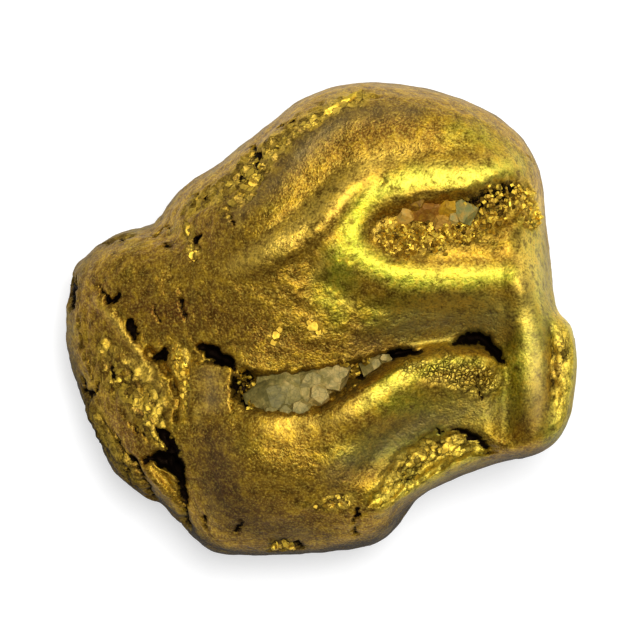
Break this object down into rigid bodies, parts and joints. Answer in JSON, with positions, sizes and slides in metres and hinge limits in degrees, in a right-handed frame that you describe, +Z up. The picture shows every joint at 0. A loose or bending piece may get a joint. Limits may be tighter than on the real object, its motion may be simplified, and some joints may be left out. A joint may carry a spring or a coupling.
{
  "type": "gold nugget",
  "caption": "Water-worn native gold nugget lying on its flatter side, with a leaf-shaped pocket, a long fold holding quartz, a torn hollow and a cracked knob.",
  "frame": {"origin": "on the surface the nugget lies on, under the middle of its outline", "axes": "+Z up through the side with the fold and the pocket, +X along the longest extent towards the smooth column, +Y towards the end with the pocket"},
  "size_m": [0.0204, 0.019, 0.0112],
  "materials": {
    "native_gold": "satin, water-worn, brown in the hollows",
    "grey_quartz": "broken, glassy",
    "stained_quartz": "broken, iron-stained"
  },
  "bodies": {
    "root": {"gold_nugget": "native_gold", "fold_quartz": "grey_quartz", "pocket_quartz": "stained_quartz"}
  },
  "joints": []
}
